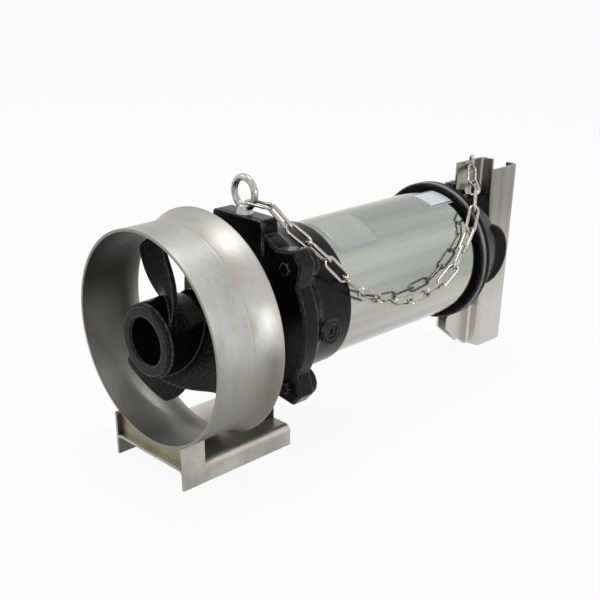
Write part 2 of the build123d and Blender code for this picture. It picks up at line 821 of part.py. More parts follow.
with BuildPart() as rail_sheet_right:
    add(plain_sheet.part)
    with BuildSketch(level_plane(rail_top_level)):
        with Locations(((tab_width + 2 * wall_x) / 2, channel_front)):
            Rectangle(2 * wall_x - tab_width, 2 * channel_depth)
        with Locations((0, channel_rear)):
            Rectangle(2 * wall_x, 2 * (channel_depth + rail_sheet))
    extrude(amount=tab_top_level - rail_top_level, mode=Mode.SUBTRACT)
    with BuildSketch(along()):
        with Locations((shackle_station, shackle_level)):
            Circle(shackle_hole)
    extrude(amount=arm_x, mode=Mode.SUBTRACT)
save(rail_sheet_right, "rail_sheet_right")

with BuildPart() as rail_sheet_left:
    mirror(plain_sheet.part, about=Plane.YZ)
    split(bisect_by=level_plane(rail_top_level), keep=Keep.BOTTOM)
    with BuildSketch(along()):
        with Locations((channel_front - channel_depth, rib_top_level + channel_depth)):
            Rectangle(2 * channel_depth - 2 * fold_radius, 2 * channel_depth)
    extrude(amount=-wall_x, mode=Mode.SUBTRACT)
save(rail_sheet_left, "rail_sheet_left")

# Cable inlet on the side away from the oil plug: a gland with an open bore
with BuildPart() as cable_gland:
    with BuildSketch(along(-gland_boss_reach)):
        with Locations((gland_station, 0)):
            RegularPolygon(radius=gland_nut / 2, side_count=6, major_radius=False)
    extrude(amount=-gland_length / 2)
    with BuildSketch(along(-gland_boss_reach - gland_length / 2)):
        with Locations((gland_station, 0)):
            Circle(gland_cap_radius)
    extrude(amount=-gland_length / 2)
    with BuildSketch(along(-gland_boss_reach)):
        with Locations((gland_station, 0)):
            Circle(gland_thread_radius)
    extrude(amount=gland_thread_length)
    with BuildSketch(along(-gland_boss_reach - gland_length)):
        with Locations((gland_station, 0)):
            Circle(gland_bore)
    extrude(amount=gland_length + gland_thread_length, mode=Mode.SUBTRACT)
save(cable_gland, "cable_gland")

# Bolts through the cover's lugs into the ears of the oil housing
with BuildPart() as flange_bolts:
    with BuildSketch(across(cover_front)):
        with Locations(*lug_bolts):
            RegularPolygon(radius=bolt_head / 2, side_count=6, major_radius=False)
    extrude(amount=bolt_head_height)
    with BuildSketch(across(cover_front)):
        with Locations(*lug_bolts):
            Circle(bolt_radius)
    extrude(amount=-cover_depth - flange_depth)
save(flange_bolts, "flange_bolts")

# Bolts from below, through the foot's web into the leg
with BuildPart() as foot_bolts:
    with BuildSketch(level_plane(web_level - foot_sheet)):
        with Locations((-foot_bolt_x, foot_bolt_station), (foot_bolt_x, foot_bolt_station)):
            RegularPolygon(radius=bolt_head / 2, side_count=6, major_radius=False)
    extrude(amount=-bolt_head_height)
    with BuildSketch(level_plane(web_level - foot_sheet)):
        with Locations((-foot_bolt_x, foot_bolt_station), (foot_bolt_x, foot_bolt_station)):
            Circle(bolt_radius)
    extrude(amount=foot_sheet + bolt_thread_depth)
save(foot_bolts, "foot_bolts")

# Bolts and nuts that clamp the bracket's sheets to the rib
with BuildPart() as rail_bolt_row:
    with BuildSketch(along(arm_x)):
        with Locations(*rail_bolts):
            RegularPolygon(radius=bolt_head / 2, side_count=6, major_radius=False)
    extrude(amount=bolt_head_height)
    with BuildSketch(along(arm_x)):
        with Locations(*rail_bolts):
            Circle(bolt_radius)
    extrude(amount=-2 * arm_x - nut_height - bolt_end)
save(rail_bolt_row, "rail_bolts")

with BuildPart() as rail_nuts:
    with BuildSketch(along(-arm_x)):
        with Locations(*rail_bolts):
            RegularPolygon(radius=bolt_head / 2, side_count=6, major_radius=False)
            Circle(bolt_radius + washer_gap, mode=Mode.SUBTRACT)
    extrude(amount=-nut_height)
save(rail_nuts, "rail_nuts")

# Eye bolt on the lifting block
eye_station = cover_front + (cover_depth - block_lead) / 2
eye_level = block_level + eye_lift
eye_centre = (0, ring_front + eye_station, shaft_height + eye_level)

with BuildPart() as eye_bolt:
    with BuildSketch(level_plane(block_level)):
        with Locations((0, eye_station)):
            Circle(eye_seat_radius)
    extrude(amount=eye_seat_height, taper=20)
    with BuildSketch(level_plane(block_level)):
        with Locations((0, eye_station)):
            Circle(eye_thread_radius)
    extrude(amount=-eye_thread_length + 1)
    with BuildSketch(along()):
        with Locations((eye_station, eye_level + eye_radius)):
            Circle(eye_wire)
    revolve(axis=Axis(eye_centre, (0, 1, 0)))
save(eye_bolt, "eye_bolt")


def wire_loop(path, wire, sides=8):
    """Sweep a round wire, drawn with a few flats, along a closed path."""
    with BuildPart() as loop:
        with BuildSketch(Plane(origin=path @ 0, z_dir=path % 0)):
            RegularPolygon(radius=wire, side_count=sides)
        sweep(path=path)
    return loop.part


# Connecting link: lies level through the eye and reaches out to the side of the lifting block
eye_link_level = eye_level - eye_link_drop
eye_link_start = sqrt((eye_radius - eye_wire) ** 2 - (eye_link_drop + link_wire) ** 2) - link_slack
eye_link_end = block_width / 2 + eye_link_reach
eye_link_path = SlotOverall(
    eye_link_end - eye_link_start + 2 * link_wire, 2 * (eye_wire + link_wire + link_slack), mode=Mode.PRIVATE
).face().outer_wire()
eye_link_centre = (
    (eye_link_start + eye_link_end) / 2,
    ring_front + eye_station,
    shaft_height + eye_link_level,
)

with BuildPart() as eye_link:
    add(Plane(origin=eye_link_centre).location * wire_loop(eye_link_path, link_wire))
save(eye_link, "eye_link")

# Ring that hangs from the top edge of the bracket's tab and passes through the tab's hole
pull = Vector(cos(radians(tab_ring_turn)), -sin(radians(tab_ring_turn)), 0)
tab_top = Vector(arm_x - rail_sheet / 2, ring_front + shackle_station, shaft_height + tab_top_level)
tab_reach = tab_ring_out + rail_sheet / 2 / cos(radians(tab_ring_turn))
ring_drop = sqrt((tab_ring_radius - link_wire - tab_ring_gap) ** 2 - tab_reach**2)
tab_ring_centre = tab_top + pull * tab_ring_out - Vector(0, 0, ring_drop)
tab_ring_plane = Plane(origin=tab_ring_centre, x_dir=pull, z_dir=pull.cross(Vector(0, 0, 1)))

with BuildPart() as tab_ring:
    add(tab_ring_plane.location * wire_loop(Wire.make_circle(tab_ring_radius), link_wire))
save(tab_ring, "tab_ring")

# Chain: long links hung from the eye round the side of the motor to the bracket's tab
chain_route = [
    (eye_link_end + 0.5, eye_station, eye_link_level + 1.5),
    (52, 147, 116),
    (61, 157, 103),
    (67, 171, 90),
    (75, 190, 71),
    (86.5, 213, 44.5),
    (92, 235, 24),
    (94.5, 261, 9),
    (96, 289.5, -3),
    (95.5, 320, -7.5),
    (95.5, 350, -6.5),
    (95, 380, -2),
    (94, 407, 12.5),
    (87.5, 430, 31),
    (79, 454, 48),
    (70.5, 472, 71),
    (54, 494.5, 84.5),
    (33, 514.5, 91),
    (14.4, 537.5, 106.3),
]
chain_line = Spline([(x, ring_front + station, shaft_height + level) for x, station, level in chain_route])
chain_count = round(chain_line.length / chain_pitch)
chain_joints = [chain_line @ (number / chain_count) for number in range(chain_count + 1)]
link_inner = chain_line.length / chain_count + link_slack
link_path = SlotOverall(link_inner + 2 * chain_wire, chain_width - 2 * chain_wire).face().outer_wire()
link_loop = wire_loop(link_path, chain_wire)


def link_place(number):
    """Place of one link between its two joints; neighbours stand square to each other."""
    start = chain_joints[number]
    direction = (chain_joints[number + 1] - start).normalized()
    middle = (chain_joints[number + 1] + start) * 0.5
    outward = Vector(middle.X, 0, middle.Z - shaft_height)
    outward = (outward - direction * outward.dot(direction)).normalized()
    twist = 90 / twisted_links * max(0, number + 1 + twisted_links - chain_count)
    turn = link_tilt + 90 * ((number + 1) % 2) - twist
    return Plane(origin=middle, x_dir=direction, z_dir=outward.rotate(Axis((0, 0, 0), direction), turn)).location


with BuildPart() as chain_links:
    add([link_place(number) * link_loop for number in range(chain_count)])
save(chain_links, "chain_links")
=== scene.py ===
"""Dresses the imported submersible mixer: sheet metal, tube, black castings, chain and studio."""

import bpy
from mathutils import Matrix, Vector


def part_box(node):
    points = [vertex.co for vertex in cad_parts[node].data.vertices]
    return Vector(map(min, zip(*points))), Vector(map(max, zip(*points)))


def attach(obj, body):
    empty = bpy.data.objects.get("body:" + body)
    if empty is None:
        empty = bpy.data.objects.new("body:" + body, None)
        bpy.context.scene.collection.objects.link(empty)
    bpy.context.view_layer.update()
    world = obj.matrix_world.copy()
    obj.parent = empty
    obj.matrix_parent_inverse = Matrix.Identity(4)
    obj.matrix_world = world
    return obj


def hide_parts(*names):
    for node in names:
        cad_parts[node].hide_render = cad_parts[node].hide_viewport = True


bl_info = {
    "name": "Submersible mixer",
    "version": (1, 0, 0),
    "blender": (4, 5, 0),
    "location": "3D View > Sidebar > Mixer",
    "description": "Finishes, round chain links and a plain studio for a mixer with a jet ring",
    "category": "Object",
}

import bpy
import numpy as np
from bpy.props import FloatProperty, FloatVectorProperty, IntProperty, PointerProperty
from mathutils import Matrix, Vector

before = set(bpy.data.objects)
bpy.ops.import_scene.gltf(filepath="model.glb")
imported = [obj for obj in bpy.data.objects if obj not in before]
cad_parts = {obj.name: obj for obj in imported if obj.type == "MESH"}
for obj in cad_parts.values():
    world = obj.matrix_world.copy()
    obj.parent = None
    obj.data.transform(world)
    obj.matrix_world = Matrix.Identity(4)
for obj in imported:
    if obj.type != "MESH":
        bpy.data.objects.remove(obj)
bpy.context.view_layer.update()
PHOTO_PIXELS = 600
RING_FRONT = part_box("jet_ring")[0].y
# Gap under a label, its thickness in metres, and the points of its grid each way
PATCH_GAP, PATCH_THICKNESS, PATCH_POINTS = 0.00005, 0.0003, 49
# Name, place, side in metres and watts of each lamp, and the point that all are aimed at
LAMPS = (
    ("lamp_left", (-1.9, -1.6, 1.7), 0.5, 9.0),
    ("lamp_right", (2.4, 0.0, 0.6), 0.4, 11.0),
    ("lamp_over", (-0.2, 0.2, 2.6), 1.1, 18.0),
)
LAMP_TARGET = (0, 0, 0.12)
# Nodes, name, colour, metallic, roughness, scale of the mottling and how dark it goes
INNER_FINISHES = (
    (("shaft", "propeller_key", "bearing_outer_rings", "bearing_inner_rings"),
     "ground_steel", (0.50, 0.50, 0.51), 1.0, 0.25, 90.0, 0.12),
    (("seal_seats",), "carbon_seat", (0.035, 0.035, 0.038), 0.2, 0.4, 300.0, 0.3),
    (("seal_faces",), "carbon_face", (0.05, 0.05, 0.055), 0.3, 0.3, 300.0, 0.3),
    (("seal_bellows",), "bellows_rubber", (0.02, 0.02, 0.02), 0.0, 0.7, 200.0, 0.3),
    (("stator_core",), "lamination_steel", (0.30, 0.30, 0.32), 1.0, 0.45, 400.0, 0.2),
    (("rotor_core",), "rotor_steel", (0.32, 0.32, 0.33), 1.0, 0.4, 400.0, 0.2),
    (("stator_windings",), "wound_copper", (0.62, 0.29, 0.13), 0.9, 0.35, 500.0, 0.35),
    (("rotor_end_rings",), "cast_aluminium", (0.60, 0.61, 0.62), 1.0, 0.4, 150.0, 0.15),
    (("cable_gland",), "gland_plastic", (0.018, 0.018, 0.019), 0.0, 0.42, 260.0, 0.25),
)
# Middle of each link, the direction along it and the direction square to its plane
TOUCHING_LINKS = (
    ((0.07383, 0.15561, 0.21740), (-0.2935, 0.5925, 0.7502), (0.7813, -0.3036, 0.5454)),
    ((0.06093, 0.17575, 0.23496), (-0.5535, 0.7296, 0.4016), (0.7961, 0.6051, -0.0021)),
    ((0.04167, 0.19710, 0.24445), (-0.7083, 0.6700, 0.2213), (-0.2028, -0.4937, 0.8455)),
)


def shaft_height():
    """The shaft axis lies at the middle of the propeller bolt, which is on it."""
    low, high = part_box("propeller_bolt")
    return (low.z + high.z) / 2


def times(colour, share):
    """The colour with its channels multiplied by one share, or each by its own."""
    shares = share if isinstance(share, tuple) else (share,) * 3
    return [channel * own for channel, own in zip(colour, shares)]


class Finish:
    """A node material in the making, with short ways to add nodes and to join them."""

    def __init__(self, name, colour, metallic, roughness):
        self.material = bpy.data.materials.new(name)
        self.material.use_nodes = True
        self.nodes = self.material.node_tree.nodes
        self.links = self.material.node_tree.links
        self.shader = self.nodes["Principled BSDF"]
        self.shader.inputs["Base Color"].default_value = (*colour, 1)
        self.shader.inputs["Metallic"].default_value = metallic
        self.shader.inputs["Roughness"].default_value = roughness
        self.place = self.add("ShaderNodeTexCoord").outputs["Object"]

    def add(self, kind, **settings):
        node = self.nodes.new(kind)
        for name, value in settings.items():
            setattr(node, name, value)
        return node

    def put(self, socket, value):
        """A number or colour is set on the socket and an output is joined to it."""
        if isinstance(value, bpy.types.NodeSocket):
            self.links.new(value, socket)
        elif value is not None:
            socket.default_value = value

    def math(self, operation, first, second=None):
        node = self.add("ShaderNodeMath", operation=operation)
        self.put(node.inputs[0], first)
        self.put(node.inputs[1], second)
        return node.outputs[0]

    def both(self, first, second):
        """The product of two shares, which is high only where both are."""
        return self.math("MULTIPLY", first, second)

    def mapped(self, scale):
        """The place with its coordinates multiplied by the scale."""
        node = self.add("ShaderNodeMapping")
        self.put(node.inputs["Vector"], self.place)
        node.inputs["Scale"].default_value = scale
        return node.outputs["Vector"]

    def noise(self, place, scale, detail, roughness):
        node = self.add("ShaderNodeTexNoise")
        self.put(node.inputs["Vector"], place)
        node.inputs["Scale"].default_value = scale
        node.inputs["Detail"].default_value = detail
        node.inputs["Roughness"].default_value = roughness
        return node.outputs["Fac"]

    def vector(self, operation, first, second=None):
        """The vector that an operation on one or two vectors gives, or its number."""
        node = self.add("ShaderNodeVectorMath", operation=operation)
        self.put(node.inputs[0], first)
        self.put(node.inputs[1], second)
        return node.outputs["Value" if operation in ("DOT_PRODUCT", "LENGTH") else "Vector"]

    def part(self, vector, axis):
        """One coordinate of a vector."""
        node = self.add("ShaderNodeSeparateXYZ")
        self.put(node.inputs[0], vector)
        return node.outputs[axis]

    def from_shaft(self):
        """The part of the place that stands square to the shaft axis."""
        lowered = self.vector("SUBTRACT", self.place, (0, 0, shaft_height()))
        return self.vector("MULTIPLY", lowered, (1, 0, 1))

    def facing_out(self):
        """One where the surface faces away from the shaft and nought where it faces the shaft."""
        normal = self.add("ShaderNodeTexCoord").outputs["Normal"]
        outward = self.vector("DOT_PRODUCT", self.vector("NORMALIZE", self.from_shaft()), normal)
        return self.steps(outward, -0.15, 0.15)

    def at_level(self, low, high, start=0, end=1):
        """A value that runs from start to end between two levels above or below the shaft axis."""
        return self.steps(self.part(self.from_shaft(), "Z"), low, high, start, end)

    def near_station(self, station, half_width):
        """One at a distance behind the ring's front edge, and nought from the half width on."""
        behind = self.math("SUBTRACT", self.part(self.place, "Y"), RING_FRONT + station)
        gap = self.math("ABSOLUTE", behind)
        return self.steps(gap, 0, half_width, 1, 0)

    def soft_edges(self, radius):
        """Shades the edges as if they were rounded; it comes before any relief.

        It gives back one on the edges and nought on the flats, from how far the rounded
        normal leans away from the true one.
        """
        node = self.add("ShaderNodeBevel", samples=6)
        node.inputs["Radius"].default_value = radius
        self.put(self.shader.inputs["Normal"], node.outputs["Normal"])
        flat = self.add("ShaderNodeNewGeometry").outputs["Normal"]
        alike = self.vector("DOT_PRODUCT", node.outputs["Normal"], flat)
        return self.steps(alike, 0.80, 0.985, 1, 0)

    def steps(self, value, low, high, start=0, end=1):
        """The value between low and high, spread over start to end and held there outside them."""
        node = self.add("ShaderNodeMapRange")
        limits = (("From Min", low), ("From Max", high), ("To Min", start), ("To Max", end))
        for name, number in limits:
            self.put(node.inputs[name], number)
        self.put(node.inputs["Value"], value)
        return node.outputs["Result"]

    def blend(self, share, first, second):
        node = self.add("ShaderNodeMix", data_type="RGBA")
        self.put(node.inputs["Factor"], share)
        for socket, colour in ((node.inputs[6], first), (node.inputs[7], second)):
            self.put(socket, colour if isinstance(colour, bpy.types.NodeSocket) else (*colour, 1))
        return node.outputs[2]

    def tint(self, share, first, second):
        """The base colour runs from the first to the second as the share runs from 0 to 1."""
        colour = self.blend(share, first, second)
        self.put(self.shader.inputs["Base Color"], colour)
        return colour

    def rough(self, value):
        self.put(self.shader.inputs["Roughness"], value)

    def relief(self, height, depth, strength):
        """Raises the surface by the height times the depth, which is in metres."""
        node = self.add("ShaderNodeBump")
        node.inputs["Strength"].default_value = strength
        node.inputs["Distance"].default_value = depth
        self.put(node.inputs["Height"], height)
        earlier = self.shader.inputs["Normal"].links
        if earlier:
            self.put(node.inputs["Normal"], earlier[0].from_socket)
        self.put(self.shader.inputs["Normal"], node.outputs["Normal"])

    def round_the_shaft(self, turns, along):
        """Angle about the shaft times the turns, and the distances along it and above it scaled.

        The level counts for a fiftieth of the distance along the shaft.
        """
        level = self.part(self.from_shaft(), "Z")
        angle = self.math("ARCTAN2", level, self.part(self.place, "X"))
        joined = self.add("ShaderNodeCombineXYZ")
        self.put(joined.inputs["X"], self.math("MULTIPLY", angle, turns))
        self.put(joined.inputs["Y"], self.math("MULTIPLY", self.part(self.place, "Y"), along))
        self.put(joined.inputs["Z"], self.math("MULTIPLY", level, 0.02 * along))
        return joined.outputs[0]


def dress(node, material):
    """Puts a finished material in every slot of a CAD node."""
    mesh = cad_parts[node].data
    for place in range(max(1, len(mesh.materials))):
        if place < len(mesh.materials):
            mesh.materials[place] = material
        else:
            mesh.materials.append(material)


def new_piece(name, points, faces, material, body):
    """A mesh object from arrays of points and faces, shaded smooth, riding on a body."""
    mesh = bpy.data.meshes.new(name)
    mesh.from_pydata(points.reshape(-1, 3).tolist(), [], faces.tolist())
    mesh.shade_smooth()
    mesh.materials.append(material)
    piece = bpy.data.objects.new(name, mesh)
    bpy.context.scene.collection.objects.link(piece)
    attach(piece, body)
    return piece


def ring_faces(rows, columns):
    """Quads of a grid that closes on itself both ways, so that it is a closed loop of tube."""
    row, column = np.meshgrid(np.arange(rows), np.arange(columns), indexing="ij")
    next_row, next_column = (row + 1) % rows, (column + 1) % columns
    corners = (row * columns + column, next_row * columns + column,
               next_row * columns + next_column, row * columns + next_column)
    return np.stack(corners, axis=-1).reshape(-1, 4)


def tube_patch(name, start, length, turns, material):
    """A thin sheet that lies on the motor tube.

    Its stations run from the start over the length, and its angles about the shaft, from the
    top towards the right, between the two turns. The sheet is a grid of points on the tube's
    radius and another that lies higher by its thickness, joined round their edges. Each point
    keeps its distance from the nearest edge in the attribute inset.
    """
    low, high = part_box("motor_tube")
    radius = (high.x - low.x) / 2 + PATCH_GAP
    rows = columns = PATCH_POINTS
    station = RING_FRONT + start + np.linspace(0, length, rows)
    angle = np.radians(np.linspace(*turns, columns))
    layers = []
    for reach in (radius, radius + PATCH_THICKNESS):
        across = np.broadcast_to(reach * np.sin(angle), (rows, columns))
        level = np.broadcast_to(shaft_height() + reach * np.cos(angle), (rows, columns))
        back = np.broadcast_to(station[:, None], (rows, columns))
        layers.append(np.stack([across, back, level], axis=-1))
    points = np.stack(layers)
    number = np.arange(rows * columns).reshape(rows, columns)
    corners = (number[:-1, :-1], number[:-1, 1:], number[1:, 1:], number[1:, :-1])
    inner = np.stack(corners, axis=-1).reshape(-1, 4)
    outer = inner[:, ::-1] + rows * columns
    edge = np.concatenate([number[0, :-1], number[:-1, -1], number[-1, :0:-1], number[:0:-1, 0]])
    ahead = np.roll(edge, -1)
    walls = np.stack([ahead, edge, edge + rows * columns, ahead + rows * columns], axis=-1)
    faces = np.concatenate([inner, outer, walls])
    piece = new_piece(name, points, faces, material, "mixer")
    smooth = [True] * (2 * len(inner)) + [False] * len(walls)
    piece.data.polygons.foreach_set("use_smooth", smooth)
    from_ends = np.minimum(station - station[0], station[-1] - station)
    from_sides = np.minimum(angle - angle[0], angle[-1] - angle) * radius
    inset = np.tile(np.minimum.outer(from_ends, from_sides).reshape(-1), 2)
    kept = piece.data.attributes.new("inset", "FLOAT", "POINT")
    kept.data.foreach_set("value", inset.astype(np.float32))


def separate_shells(node):
    """The corner points of each solid in a CAD node, as one array for each.

    Points at the same place are given one number. Each triangle then hands the lowest number
    of its three corners to the others, again and again, until all the corners of a solid
    share one.
    """
    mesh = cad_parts[node].data
    points = np.empty(len(mesh.vertices) * 3, np.float32)
    mesh.vertices.foreach_get("co", points)
    mesh.calc_loop_triangles()
    corners = np.empty(len(mesh.loop_triangles) * 3, np.int32)
    mesh.loop_triangles.foreach_get("vertices", corners)
    places, numbers = np.unique(np.round(points.reshape(-1, 3), 7), axis=0, return_inverse=True)
    triangles = numbers.reshape(-1)[corners].reshape(-1, 3)
    label = np.arange(len(places))
    while True:
        lowest = np.repeat(label[triangles].min(axis=1), 3)
        spread = label.copy()
        np.minimum.at(spread, triangles.reshape(-1), lowest)
        if (spread == label).all():
            return [places[label == number] for number in np.unique(label)]
        label = spread


def link_frame(shell):
    """Middle, axes and half sizes of a CAD link.

    The axes are the principal directions of its points: along it, across it and square to it.
    """
    axes = np.linalg.svd(shell - shell.mean(axis=0), full_matrices=False)[2]
    axes[2] = np.cross(axes[0], axes[1])
    reach = (shell - shell.mean(axis=0)) @ axes.T
    centre = shell.mean(axis=0) + (reach.max(axis=0) + reach.min(axis=0)) / 2 @ axes
    return centre, axes, np.ptp(reach, axis=0) / 2


def touching_frames(sizes):
    """The frames of the links that touch in the CAD and come as one shell, at one link's size."""
    frames = []
    for middle, along, square in TOUCHING_LINKS:
        along, square = np.array(along), np.array(square)
        axes = np.stack([along, np.cross(square, along), square])
        frames.append((np.array(middle), axes, sizes))
    return frames


def round_link(link, rows, columns, seam):
    """A smooth wire link where a CAD link lies.

    Its centre line is two straight sides and two half circles, and the wire is a circle
    carried along that line. The circle is thicker by the seam's share at the weld, and the
    extra falls off on both sides of it as a bell curve about one wire wide.
    """
    centre, axes, (half_length, half_width, wire) = link
    bend = half_width - wire
    straight = half_length - half_width
    whole = 4 * straight + 2 * np.pi * bend
    travel = np.arange(rows) / rows * whole
    end_turn = np.pi * bend
    first = np.clip(travel - straight, 0, end_turn) / bend
    second = np.clip(travel - 3 * straight - end_turn, 0, end_turn) / bend
    turn = first + second
    run = (np.clip(travel, 0, straight)
           - np.clip(travel - straight - end_turn, 0, 2 * straight)
           + np.clip(travel - 3 * straight - 2 * end_turn, 0, straight))
    outward = np.stack([np.sin(turn), np.cos(turn)], axis=1)
    line = np.stack([run, np.zeros(rows)], axis=1) + bend * outward
    from_weld = np.minimum(travel, whole - travel) / (1.1 * wire)
    thickness = wire * (1 + seam * np.exp(-from_weld ** 2))
    around = np.arange(columns) / columns * 2 * np.pi
    flat = line[:, None] + (thickness[:, None] * np.cos(around))[..., None] * outward[:, None]
    depth = thickness[:, None] * np.sin(around)
    return centre + flat[..., :1] * axes[0] + flat[..., 1:] * axes[1] + depth[..., None] * axes[2]


def link_piece(node, material, settings):
    """One piece of smooth links that stands for all the links of a CAD node.

    A shell that is much longer than a single link holds the links that touch.
    """
    rows, columns = settings.steps_along, settings.steps_round
    frames = [link_frame(shell) for shell in separate_shells(node)]
    single = min((sizes for centre, axes, sizes in frames), key=max)
    longest = 1.5 * max(single)
    separate = [link for link in frames if max(link[2]) <= longest]
    if len(separate) < len(frames):
        separate += touching_frames(single)
    links = [round_link(link, rows, columns, settings.seam) for link in separate]
    one = ring_faces(rows, columns)
    faces = np.concatenate([one + count * rows * columns for count in range(len(links))])
    piece = new_piece(f"round_{node}", np.concatenate(links), faces, material, "mixer")
    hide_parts(node)


class MixerSheetSettings(bpy.types.PropertyGroup):
    ring_colour: FloatVectorProperty(
        name="Jet ring", description="Colour of the satin jet ring",
        subtype="COLOR", size=3, min=0, max=1, default=(0.48, 0.485, 0.47))
    foot_colour: FloatVectorProperty(
        name="Foot and rail", description="Colour of the foot and of the rail bracket",
        subtype="COLOR", size=3, min=0, max=1, default=(0.44, 0.42, 0.385))
    plate_colour: FloatVectorProperty(
        name="Cross plate", description="Colour of the plate under the ring",
        subtype="COLOR", size=3, min=0, max=1, default=(0.27, 0.25, 0.17))
    tube_colour: FloatVectorProperty(
        name="Motor tube", description="Colour of the polished tube",
        subtype="COLOR", size=3, min=0, max=1, default=(0.42, 0.43, 0.405))
    roughness: FloatProperty(
        name="Satin roughness", description="Roughness of the satin sheet",
        subtype="FACTOR", min=0, max=1, default=0.44)
    polish: FloatProperty(
        name="Tube roughness", description="Roughness of the polished tube",
        subtype="FACTOR", min=0, max=1, default=0.09)


class MixerCastSettings(bpy.types.PropertyGroup):
    paint_colour: FloatVectorProperty(
        name="Paint", description="Colour of the black paint",
        subtype="COLOR", size=3, min=0, max=1, default=(0.0035, 0.0037, 0.0038))
    # painted highlight: colour of the light marks on the cast edges
    edge_highlight_colour: FloatVectorProperty(
        name="Edges", description="Colour where the paint is thin on the edges",
        subtype="COLOR", size=3, min=0, max=1, default=(0.19, 0.19, 0.193))
    # painted highlight: colour of the bright line on the rear cover's rim
    rim_highlight_colour: FloatVectorProperty(
        name="Rim", description="Colour of the rear cover's worn rim",
        subtype="COLOR", size=3, min=0, max=1, default=(0.40, 0.37, 0.365))
    # where the painted highlight on the rear cover's rim starts
    rim_highlight_start: FloatProperty(
        name="Rim start", description="From the ring's front edge to the worn rim",
        subtype="DISTANCE", unit="LENGTH", default=0.4765)
    grain: FloatProperty(
        name="Grain", description="Height of the cast grain under the paint",
        subtype="DISTANCE", unit="LENGTH", min=0, max=0.002, default=0.0006)
    roughness: FloatProperty(
        name="Paint roughness", description="Roughness of the painted castings",
        subtype="FACTOR", min=0, max=1, default=0.22)
    bevel: FloatProperty(
        name="Edge rounding", description="How far the cast edges are rounded in the shading",
        subtype="DISTANCE", unit="LENGTH", min=0, max=0.01, default=0.0032)
    gloss: FloatProperty(
        name="Gloss", description="Index of refraction of the paint on the front castings",
        min=1, max=2, default=1.24)
    rear_gloss: FloatProperty(
        name="Rear gloss", description="Index of refraction of the paint on the rear cover",
        min=1, max=2, default=1.11)
    blade_gloss: FloatProperty(
        name="Propeller gloss", description="Index of refraction of the propeller's paint",
        min=1, max=2, default=1.23)
    blade_roughness: FloatProperty(
        name="Propeller roughness", description="Roughness of the glossy propeller",
        subtype="FACTOR", min=0, max=1, default=0.16)


class MixerPlateSettings(bpy.types.PropertyGroup):
    label_start: FloatProperty(
        name="Label start", description="From the ring's front edge to the label",
        subtype="DISTANCE", unit="LENGTH", default=0.428)
    label_length: FloatProperty(
        name="Label length", description="Length of the label along the shaft",
        subtype="DISTANCE", unit="LENGTH", default=0.048)
    label_turns: FloatVectorProperty(
        name="Label angles", description="Degrees from the top to the label's two sides",
        size=2, default=(-1.5, 25.5))
    label_colour: FloatVectorProperty(
        name="Label colour", description="Colour of the blank label",
        subtype="COLOR", size=3, min=0, max=1, default=(0.70, 0.74, 0.80))
    plate_start: FloatProperty(
        name="Plate start", description="From the ring's front edge to the data plate",
        subtype="DISTANCE", unit="LENGTH", default=0.240)
    plate_length: FloatProperty(
        name="Plate length", description="Length of the data plate along the shaft",
        subtype="DISTANCE", unit="LENGTH", default=0.067)
    plate_turns: FloatVectorProperty(
        name="Plate angles", description="Degrees from the top to the plate's two sides",
        size=2, default=(2.0, 43.5))
    plate_colour: FloatVectorProperty(
        name="Plate colour", description="Colour of the blank data plate",
        subtype="COLOR", size=3, min=0, max=1, default=(0.40, 0.41, 0.40))


class MixerChainSettings(bpy.types.PropertyGroup):
    steps_along: IntProperty(
        name="Steps along", description="Steps along the wire of each link",
        min=16, max=200, default=72)
    steps_round: IntProperty(
        name="Steps round", description="Steps round the wire of each link",
        min=8, max=64, default=16)
    seam: FloatProperty(
        name="Weld seam", description="How much thicker the wire is at its weld",
        subtype="FACTOR", min=0, max=0.3, default=0.05)
    colour: FloatVectorProperty(
        name="Stainless", description="Colour of the chain, eye and bolts",
        subtype="COLOR", size=3, min=0, max=1, default=(0.52, 0.505, 0.475))
    roughness: FloatProperty(
        name="Wire roughness", description="Roughness of the bright wire",
        subtype="FACTOR", min=0, max=1, default=0.2)


class MixerStageSettings(bpy.types.PropertyGroup):
    azimuth: FloatProperty(
        name="Azimuth", description="Angle that the camera looks along, from +Y",
        subtype="ANGLE", default=np.radians(45.28))
    elevation: FloatProperty(
        name="Elevation", description="Camera's angle above the horizon",
        subtype="ANGLE", default=np.radians(26.68))
    roll: FloatProperty(
        name="Roll", description="Camera's turn about its own line of sight",
        subtype="ANGLE", default=np.radians(0.65))
    distance: FloatProperty(
        name="Distance", description="From the camera to the point that it is aimed at",
        unit="LENGTH", subtype="DISTANCE", default=1.1532)
    aim: FloatVectorProperty(
        name="Aim", description="Point that the camera is aimed at",
        subtype="XYZ", unit="LENGTH", size=3, default=(0.07596, -0.15175, 0.04024))
    focal_pixels: FloatProperty(
        name="Focal length", description="In pixels of the photograph",
        default=991.84)
    shift: FloatVectorProperty(
        name="Lens shift", description="Sideways and upward shift, in picture widths",
        size=2, default=(-0.0009, 0.1954))
    surround: FloatProperty(
        name="Surround", description="Strength of the light from the white surroundings",
        min=0, default=0.55)
    floor_white: FloatProperty(
        name="Floor white", description="Share of plain white in what is seen of the floor",
        subtype="FACTOR", min=0, max=1, default=0.92)
    floor_size: FloatProperty(
        name="Floor", description="Side of the square floor",
        unit="LENGTH", subtype="DISTANCE", default=40.0)
    floor_colour: FloatVectorProperty(
        name="Floor colour", description="Colour of the pale floor",
        subtype="COLOR", size=3, min=0, max=1, default=(0.86, 0.86, 0.86))


